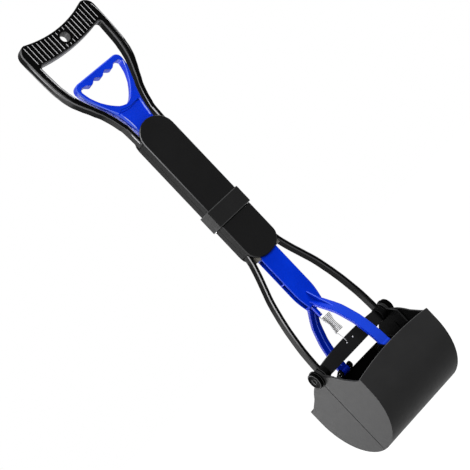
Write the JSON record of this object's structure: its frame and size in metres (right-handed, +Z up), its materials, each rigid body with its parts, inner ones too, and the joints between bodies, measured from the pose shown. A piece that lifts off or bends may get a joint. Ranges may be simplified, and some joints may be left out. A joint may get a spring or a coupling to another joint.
{
  "type": "pooper scooper",
  "caption": "Long-handled waste scoop: D-handle, finger pull, folding casing with a locking collar, bowed legs, forked rod, return spring and spring-shut jaws.",
  "frame": {"origin": "under the tip of the closed scoop, on the tool's middle line", "axes": "+Z up along the tool towards the grip, +X along the jaws' axis, -Y the front"},
  "size_m": [0.142, 0.132, 0.61],
  "materials": {
    "black_gloss": "glossy moulded plastic",
    "black_matt": "fine matt moulded plastic",
    "black_scoop": "satin moulded plastic",
    "black_pivot": "glossy moulded plastic",
    "blue": "glossy moulded plastic",
    "steel": "bright steel wire and pins"
  },
  "bodies": {
    "handle_body": {"upper_frame": "black_gloss", "upper_casing_front": "black_matt", "upper_casing_back": "black_matt", "upper_screw_left": "steel", "upper_screw_right": "steel", "fold_pin": "steel"},
    "collar_body": {"lock_collar": "black_matt"},
    "scoop_body": {"lower_casing_front": "black_matt", "lower_casing_back": "black_matt", "lower_screw_left": "steel", "lower_screw_right": "steel", "lower_frame": "black_gloss", "pivot_bolt_left": "steel", "pivot_bolt_right": "steel", "pivot_washer_left": "black_pivot", "pivot_washer_right": "black_pivot", "pivot_cap_left": "black_pivot", "pivot_cap_right": "black_pivot", "return_spring": "steel"},
    "pull_body": {"pull_handle": "blue", "pull_cable": "steel"},
    "fork_body": {"fork": "blue", "front_link_pin": "black_pivot", "rear_link_pin": "black_pivot"},
    "front_jaw_body": {"front_jaw": "black_scoop"},
    "rear_jaw_body": {"rear_jaw": "black_scoop"}
  },
  "joints": [
    {"name": "pull_slide", "type": "slide", "parent": "handle_body", "child": "pull_body", "axis": [0, 0, 1], "range_m": [0, 0.034], "stiffness_N_per_m": 250, "springref_m": -0.02},
    {"name": "collar_slide", "type": "slide", "parent": "handle_body", "child": "collar_body", "axis": [0, 0, 1], "range_m": [0, 0.024]},
    {"name": "fold", "type": "hinge", "parent": "handle_body", "child": "scoop_body", "pos_m": [0, 0.0136, 0.308], "axis": [1, 0, 0], "range_deg": [0, 160], "deforming": ["pull_cable"]},
    {"name": "fork_slide", "type": "slide", "parent": "scoop_body", "child": "fork_body", "axis": [0, 0, 1], "range_m": [0, 0.034], "deforming": ["return_spring"]},
    {"name": "front_jaw_swing", "type": "hinge", "parent": "scoop_body", "child": "front_jaw_body", "pos_m": [0, 0, 0.11], "axis": [1, 0, 0], "range_deg": [-34.7, 0]},
    {"name": "rear_jaw_swing", "type": "hinge", "parent": "scoop_body", "child": "rear_jaw_body", "pos_m": [0, 0, 0.11], "axis": [1, 0, 0], "range_deg": [0, 34.7]}
  ],
  "couplings": [
    {"joint": "fork_slide", "follows": "pull_slide", "ratio": 1},
    {"joint": "front_jaw_swing", "follows": "pull_slide", "rad_per_m": -17.81},
    {"joint": "rear_jaw_swing", "follows": "pull_slide", "rad_per_m": 17.81}
  ]
}
